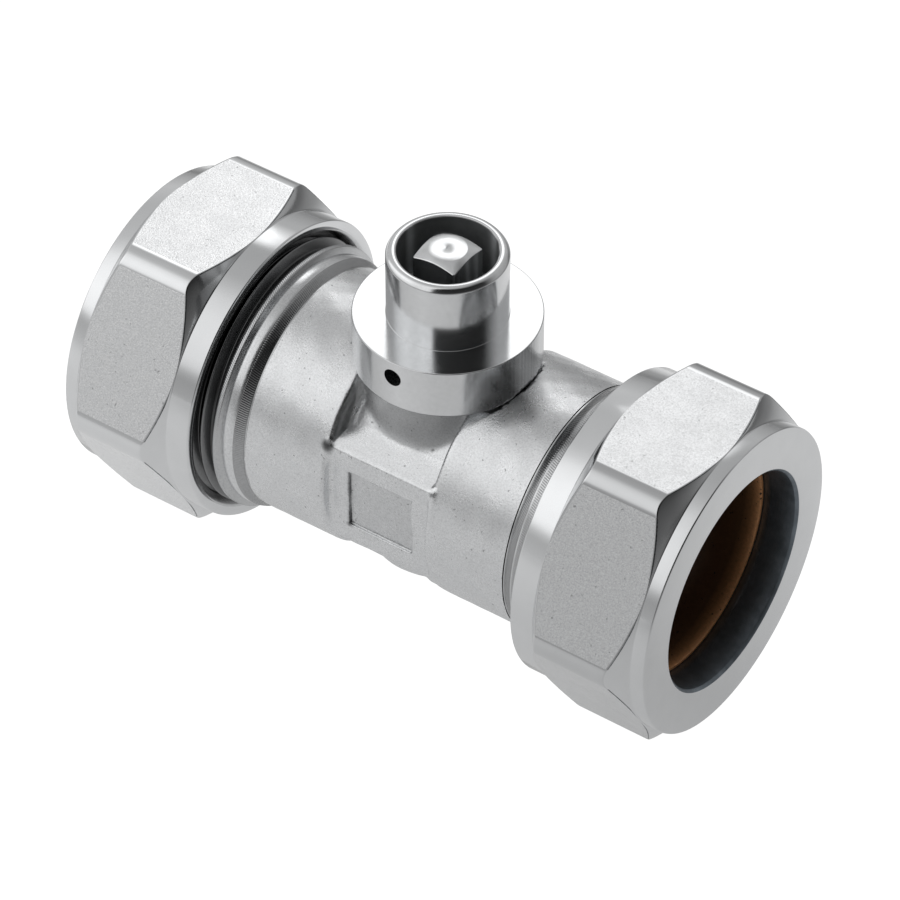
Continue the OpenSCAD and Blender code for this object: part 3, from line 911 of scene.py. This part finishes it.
def nut_materials(mesh, faces, angle, thread_row):
    """Satin flats, bright round parts, corners and ends, a painted dark line for the shade where each flat
    meets its chamfer, darker metal in the thread, and painted shade in the end hole."""
    for material in (TURNED, THREAD, HOLE, PAINTED_DARK_LINE):
        mesh.materials.append(material)
    slot = {material.name: i for i, material in enumerate(mesh.materials)}
    first = np.array([face[0] for face in faces])
    row, column = first // len(angle), first % len(angle)
    on_flat = (from_flat(angle + math.pi / 2, 6) < FLAT_LIMIT)[column]
    kinds = np.full(len(faces), slot[TURNED.name])
    kinds[(row == FLAT_ROW) & on_flat] = slot[FLATS.name]
    kinds[row >= HOLE_ROW] = slot[HOLE.name]
    kinds[row >= thread_row] = slot[THREAD.name]
    kinds[np.isin(row, LINE_ROWS) & on_flat] = slot[PAINTED_DARK_LINE.name]
    mesh.polygons.foreach_set("material_index", kinds.tolist())


def build_nut(side, sign):
    """One nut, in the place where its CAD node is."""
    low, high = node_box("nut_" + side)
    start = low[0] if sign > 0 else -high[0]
    angle = circle(NUT_SEGMENTS)
    outer = turned_rows(nut_outline(angle), angle, "x")
    thread, deep = nut_thread(start, sign, angle)
    rows = np.concatenate([outer, thread])
    faces = helix_faces(len(rows), len(angle), len(outer), len(rows) - 1, -len(THREAD_SHAPE),
                        closed_rows=True)
    # Painted shade in the nut's thread, darker in its valleys
    painted_shade = np.concatenate([nut_shade(outer.shape[:2], sign, angle), 0.55 + 0.3 * deep]).ravel()
    obj = mesh_object("nut_shell_" + side, on_end(rows, sign, start), flipped(faces), FLATS,
                      side + "_nut", "nut_" + side, painted_shade=painted_shade)
    nut_materials(obj.data, faces, angle, len(outer) - 1)
    weighted(obj)


def build_olive(side, sign):
    """One olive, in the place where its CAD node is."""
    low, high = node_box("olive_" + side)
    middle = abs(low[0] + high[0]) / 2
    hole, half = OLIVE_HOLE_R, OLIVE_HALF
    outline = rounded([
        (hole, -half, 0), (OLIVE_END_R, -half, 0.08), (OLIVE_R, -OLIVE_LAND, 0.4), (OLIVE_R, OLIVE_LAND, 0.4),
        (OLIVE_END_R, half, 0.08), (hole + 0.12, half, 0.05), (hole, half - 0.3, 0), (hole, half - 1.0, 0),
        (hole, half - 1.8, 0),
    ])
    angle = circle(192)
    rows = turned_rows(outline, angle, "x")
    # Painted shade: bright at its outer end, darker further in
    inwards = np.clip((half - outline[:, 1]) * 0.5, 0, 0.84)
    painted_shade = np.repeat(np.where(outline[:, 0] < hole + 0.05, inwards, 0.0), len(angle))
    faces = flipped(grid_faces(len(rows), len(angle), closed_rows=True))
    mesh_object("olive_ring_" + side, on_end(rows, sign, middle), faces, COPPER, side + "_olive",
                "olive_" + side, painted_shade=painted_shade)


for side, sign in SIDES.items():
    build_nut(side, sign)
for side, sign in SIDES.items():
    build_olive(side, sign)


# Vent

# Painted reflections: lighter strips on the cup's wall of painted shade, as (angle round the vent, width)
CUP_STRIPS = ((172, 7), (60, 9), (38, 6), (22, 4))
# Painted shade and reflections round the collar's side and round the cup's outside, as (angle round the vent,
# amount)
COLLAR_SHADES = ((-180, 0.2), (-140, 0.3), (-116, 0.3), (-104, 0.2), (-86, 0.0), (-56, 0.06), (-40, 0.0),
                 (-24, 0.0), (-12, 0.42), (6, 0.36), (16, 0.1), (28, 0.3), (60, 0.3), (180, 0.2))
CUP_SHADES = ((-180, 0.5), (-140, 0.48), (-128, 0.3), (-116, 0.3), (-104, 0.18), (-92, 0.1), (-80, 0.0),
              (-44, 0.0), (-32, 0.16), (-20, 0.08), (-8, 0.0), (180, 0.0))


def housing_outline():
    """Outline of the housing, up its outside from the seat to the rim and down its inside."""
    return rounded([
        (SEAT_R, SHANK_END, 0), (SHANK_R, SHANK_END, 0.1), (SHANK_R, COLLAR_Z, 0), (COLLAR_R, COLLAR_Z, 0.2),
        (COLLAR_R, COLLAR_TOP, 0.12), (CUP_R, COLLAR_TOP, 0.06), (CUP_R, RIM_Z - 0.5, 0.12),
        (CUP_R - 0.3, RIM_Z - 0.12, 0.2), (CUP_R - 0.55, RIM_Z - 0.01, 0.12), (CUP_HOLE_R + 0.2, RIM_Z, 0.1),
        (CUP_HOLE_R, RIM_Z - 0.12, 0.05), (CUP_HOLE_R, CUP_FLOOR, 0.15), (CHAMBER_R, CUP_FLOOR, 0.06),
        (CHAMBER_R, CHAMBER_FLOOR, 0.1), (SPINDLE_HOLE_R, CHAMBER_FLOOR, 0.05), (SPINDLE_HOLE_R, 10.86, 0),
        (SEAT_R, 9.5, 0.05), (SEAT_R, SHANK_END, 0),
    ])[:-1]


def drill_outlet(obj):
    """Cuts the air outlet from the collar's side into the chamber."""
    depth, middle = 9.6, -8.1
    bpy.ops.mesh.primitive_cylinder_add(
        vertices=64, radius=OUTLET_R * MM, depth=depth * MM, location=place([0, middle, OUTLET_Z])[0],
        rotation=(math.pi / 2, 0, 0))
    cutter = bpy.context.object
    cut = obj.modifiers.new("outlet", "BOOLEAN")
    cut.operation = "DIFFERENCE"
    cut.solver = "EXACT"
    cut.object = cutter
    view = bpy.context.evaluated_depsgraph_get()
    mesh = bpy.data.meshes.new_from_object(obj.evaluated_get(view))
    obj.modifiers.clear()
    obj.data = mesh
    bpy.data.objects.remove(cutter)
    mesh.set_sharp_from_angle(angle=math.radians(35))


def housing_materials(mesh):
    """Painted shade: darker grey inside the cup, and a painted dark line in the outlet and along the collar's
    lower edge.
    """
    mesh.materials.append(CAVITY)
    mesh.materials.append(PAINTED_DARK_LINE)
    x, y, z = unplace([face.center[:] for face in mesh.polygons]).T
    upright = np.hypot(x, y)
    inside = (upright < CUP_HOLE_R + 0.01) & (z < RIM_Z - 0.1)
    under = (upright > COLLAR_R - 0.25) & (z < COLLAR_Z + 0.09)
    outlet = (np.hypot(x, z - OUTLET_Z) < OUTLET_R + 0.01) & (y < -4) & (upright < COLLAR_R - 0.03)
    mesh.polygons.foreach_set("material_index", (inside + 2 * (under | outlet)).tolist())


def housing_painted_shade(mesh):
    """Painted shade and dullness of the housing: the cup's wall in painted shade with lighter strips painted
    as reflections, the top of the collar a little darker, and painted shade and reflections round the
    collar's side and the cup's outside."""
    x, y, z = unplace([vertex.co[:] for vertex in mesh.vertices]).T
    upright = np.hypot(x, y)
    around = np.degrees(np.arctan2(y, x))
    wall = (upright < CUP_HOLE_R + 0.05) & (z < RIM_Z + 0.01)
    strips = sum(hump(around, at, width) for at, width in CUP_STRIPS)
    on_top = np.abs(z - COLLAR_TOP) < 0.05
    painted_shade = np.where(wall, 0.72 - 0.6 * np.clip(strips, 0, 1), 0.05 * on_top)
    side = (upright > COLLAR_R - 0.15) & (z < COLLAR_TOP - 0.01) & (z > COLLAR_Z - 0.01)
    streaks = 0.08 * np.sin(around * 1.9) * ((around > -45) & (around < 10))
    painted_shade = np.where(side, np.clip(np.interp(around, *zip(*COLLAR_SHADES)) + streaks, 0, 1), painted_shade)
    cup = (upright > CUP_R - 0.2) & (upright < CUP_R + 0.05) & (z > COLLAR_TOP + 0.02)
    painted_shade = np.where(cup, np.interp(around, *zip(*CUP_SHADES)), painted_shade)
    mark(mesh, "painted_shade", painted_shade)
    mark(mesh, "frost", 0.9 * wall)


def build_housing():
    """Turned housing of the vent, with its air outlet."""
    angle = circle(VENT_SEGMENTS)
    rows = turned_rows(housing_outline(), angle, "z")
    faces = grid_faces(len(rows), len(angle), closed_rows=True)
    obj = mesh_object("vent_cup", rows, faces, POLISHED, "root", "vent_housing")
    drill_outlet(obj)
    housing_materials(obj.data)
    housing_painted_shade(obj.data)
    weighted(obj)


def build_spindle():
    """Bleed spindle: needle, threaded part, stem, flanges with the seal's groove, and square head."""
    angle = circle(VENT_SEGMENTS)
    square = polygon_radius(angle, 4, HEAD_HALF, HEAD_CORNER_R)
    stem = rounded([
        (0.05, SPINDLE_TIP, 0), (0.6, SPINDLE_TIP, 0.1), (SPINDLE_THREAD_R, 10.8, 0.1),
        (SPINDLE_THREAD_R, CHAMBER_FLOOR, 0.1), (SPINDLE_STEM_R, CHAMBER_FLOOR, 0.1),
        (SPINDLE_STEM_R, 16.85, 0.1), (FLANGE_R, 16.85, 0.05), (FLANGE_R, 17.2, 0.05), (GROOVE_R, 17.2, 0.05),
        (GROOVE_R, 18.4, 0.05), (FLANGE_R, 18.4, 0.05), (FLANGE_R, HEAD_START, 0.1),
        (square.max() + 0.1, HEAD_START, 0),
    ])
    slope = HEAD_DROP / (HEAD_HALF * math.sqrt(2) - HEAD_DISC_R)
    shoulder = SPINDLE_TOP - (square - HEAD_DISC_R) * slope
    head = [
        (square + 0.05, HEAD_START), (square, HEAD_START + 0.06), (square, shoulder - 0.06),
        (square - 0.02, shoulder), (square - 0.1, shoulder + 0.1 * slope),
        (HEAD_DISC_R + 0.05, SPINDLE_TOP - 0.05 * slope), (HEAD_DISC_R - 0.03, SPINDLE_TOP),
        (0.2, SPINDLE_TOP), (0.17, SPINDLE_TOP - 0.01), (0.05, SPINDLE_TOP - 0.09),
        (0.01, SPINDLE_TOP - 0.09),
    ]
    rows = turned_rows([*stem, *head], angle, "z")
    faces = grid_faces(len(rows), len(angle))
    weighted(mesh_object("vent_spindle", rows, faces, POLISHED, "spindle", "bleed_spindle"))


build_housing()
build_spindle()

for name, material in (("housing_washer", WASHER), ("spindle_seal_ring", RUBBER)):
    for material_slot in frame["nodes"][name].material_slots:
        material_slot.material = material


# Camera, at the photograph's angle

CAMERA_PLACE = (0.195378, -0.280385, 0.332927)
CAMERA_LOOK = (-0.41693, 0.60189, -0.6811)
CAMERA_LENS = 190.65
CAMERA_SENSOR = 36


def aim(obj, direction):
    """Points a camera or a lamp in a direction."""
    obj.rotation_euler = Vector(direction).to_track_quat("-Z", "Y").to_euler()


def build_camera():
    """The camera, with the plain view of colours."""
    data = bpy.data.cameras.new("camera")
    camera = bpy.data.objects.new("camera", data)
    bpy.context.scene.collection.objects.link(camera)
    data.sensor_width = CAMERA_SENSOR
    data.lens = CAMERA_LENS
    data.clip_start = 0.01
    data.clip_end = 20
    camera.location = CAMERA_PLACE
    aim(camera, CAMERA_LOOK)
    bpy.context.scene.camera = camera
    bpy.context.scene.view_settings.view_transform = "Standard"


build_camera()


# Floor and light

# Glow of the floor that the metal mirrors, from left to right and from front to back
FLOOR_SIZE = 3.0
FLOOR_REACH = 0.3
FLOOR_ACROSS = [(0.0, 0.62), (0.333, 0.62), (0.45, 0.54), (0.533, 0.46), (0.6, 0.38), (0.667, 0.26),
                (1.0, 0.1)]
FLOOR_ALONG = [(0.0, 0.66), (0.25, 0.8), (0.4, 0.96), (0.47, 0.96), (0.5, 0.9), (0.55, 1.25), (0.6, 1.25),
               (0.7, 0.45), (1.0, 0.2)]
# Tones of the studio, by degrees over the run from the front horizon to the back one
SOFT_BOX = [(0, 0.42), (13, 0.36), (18, 0.48), (23, 0.76), (28, 0.87), (44, 0.92), (60, 0.89), (74, 0.78),
            (84, 0.58), (92, 0.48), (108, 0.44), (130, 0.42), (155, 0.5), (171, 0.38), (180, 0.28)]
HIGH_STRIP = [(0, 0.0), (121, 0.0), (128, 0.84), (136, 0.82), (141, 0.4), (150, 0.0), (180, 0.0)]
# The same from left to right: where the strip is, and how bright the soft box is
STRIP_ACROSS = [(0.0, 0), (0.22, 0), (0.26, 1), (0.39, 1), (0.44, 0), (1.0, 0)]
SOFT_BOX_ACROSS = [(0.0, 1.2), (0.2, 1.2), (0.265, 1.1), (0.305, 0.96), (1.0, 0.96)]
# Tones on the right and behind it, from the horizon up
RIGHT_RISE = [(0.0, 0.2), (0.2, 0.13), (0.4, 0.03), (0.78, 0.01), (0.92, 0.15), (1.0, 0.45)]
BEHIND_RISE = [(0.0, 0.35), (0.5, 0.4), (1.0, 0.45)]


def seen_by_camera(tree, shader, camera_shader, output):
    """Shows the camera one shader, and mirrors and other rays another."""
    mix = node(tree, "ShaderNodeMixShader")
    tree.links.new(node(tree, "ShaderNodeLightPath").outputs["Is Camera Ray"], mix.inputs[0])
    tree.links.new(shader.outputs[0], mix.inputs[1])
    tree.links.new(camera_shader.outputs[0], mix.inputs[2])
    tree.links.new(mix.outputs[0], output.inputs["Surface"])


def floor_material():
    """White to the camera, with the object's shadow. The metal sees it lit evenly from below."""
    material, tree, shader = new_material("floor_pale")
    link = tree.links.new
    split = node(tree, "ShaderNodeSeparateXYZ")
    link(node(tree, "ShaderNodeTexCoord").outputs["Object"], split.inputs[0])
    across = ramp(tree, share(tree, split.outputs["X"], -FLOOR_REACH, FLOOR_REACH), FLOOR_ACROSS)
    along = ramp(tree, share(tree, split.outputs["Y"], -FLOOR_REACH, FLOOR_REACH), FLOOR_ALONG)
    link(mixed(tree, "MULTIPLY", across, along), shader.inputs["Emission Color"])
    shader.inputs["Emission Strength"].default_value = 1.0
    shader.inputs["Base Color"].default_value = (*grey(0.2), 1)
    shader.inputs["Roughness"].default_value = 0.9
    glow = node(tree, "ShaderNodeEmission", Strength=1.0, Color=(*grey(1.0), 1))
    shadowed = node(tree, "ShaderNodeBsdfDiffuse", Color=(*grey(0.2), 1))
    white = node(tree, "ShaderNodeAddShader")
    link(glow.outputs[0], white.inputs[0])
    link(shadowed.outputs[0], white.inputs[1])
    seen_by_camera(tree, shader, white, tree.nodes["Material Output"])
    return material


def build_floor():
    """A wide square floor under the part."""
    mesh = bpy.data.meshes.new("floor")
    corners = [(x * FLOOR_SIZE, y * FLOOR_SIZE, 0) for x, y in ((-1, -1), (1, -1), (1, 1), (-1, 1))]
    mesh.from_pydata(corners, [], [(0, 1, 2, 3)])
    mesh.materials.append(floor_material())
    floor = bpy.data.objects.new("floor", mesh)
    bpy.context.scene.collection.objects.link(floor)


def angle_over_run(tree, split):
    """Angle of a direction over the run, from 0 at the front horizon to 1 at the back one."""
    turned = node(tree, "ShaderNodeMath", operation="MULTIPLY")
    turned.inputs[1].default_value = -1
    tree.links.new(split.outputs["Y"], turned.inputs[0])
    angle = node(tree, "ShaderNodeMath", operation="ARCTAN2")
    tree.links.new(split.outputs["Z"], angle.inputs[0])
    tree.links.new(turned.outputs[0], angle.inputs[1])
    return share(tree, angle.outputs[0], 0, math.pi)


def by_degrees(stops):
    """Stops over half a turn as stops from 0 to 1."""
    return [(degrees / 180, tone) for degrees, tone in stops]


def build_world():
    """Studio: a large soft box in front on the left, a bright strip high behind, and dark on the right."""
    world = bpy.data.worlds.new("studio")
    world.use_nodes = True
    bpy.context.scene.world = world
    tree = world.node_tree
    split = node(tree, "ShaderNodeSeparateXYZ")
    tree.links.new(node(tree, "ShaderNodeTexCoord").outputs["Generated"], split.inputs[0])
    over = angle_over_run(tree, split)
    across = share(tree, split.outputs["X"], -1, 1)
    rise = share(tree, split.outputs["Z"], 0, 1)
    strip = mixed(tree, "MULTIPLY", ramp(tree, over, by_degrees(HIGH_STRIP)),
                  ramp(tree, across, STRIP_ACROSS))
    left = mixed(tree, "MULTIPLY", ramp(tree, over, by_degrees(SOFT_BOX)),
                 ramp(tree, across, SOFT_BOX_ACROSS))
    left = mixed(tree, "ADD", left, strip)
    right = mixed(tree, "MIX", ramp(tree, rise, RIGHT_RISE), ramp(tree, rise, BEHIND_RISE),
                  share(tree, split.outputs["Y"], 0.2, 0.6))
    background = tree.nodes["Background"]
    tree.links.new(mixed(tree, "MIX", left, right, share(tree, split.outputs["X"], 0.07, 0.11)),
                   background.inputs["Color"])
    white = node(tree, "ShaderNodeBackground")
    seen_by_camera(tree, background, white, tree.nodes["World Output"])


def area_light(name, location, size, power, target):
    """A soft rectangular lamp that points at a target."""
    data = bpy.data.lights.new(name, "AREA")
    data.shape = "RECTANGLE"
    data.size, data.size_y = size
    data.energy = power
    light = bpy.data.objects.new(name, data)
    bpy.context.scene.collection.objects.link(light)
    light.location = location
    aim(light, Vector(target) - Vector(location))


build_floor()
build_world()
area_light("top_light", location=(-0.32, 0.5, 0.5), size=(0.25, 0.12), power=0.03, target=(0, 0, RUN_Z * MM))
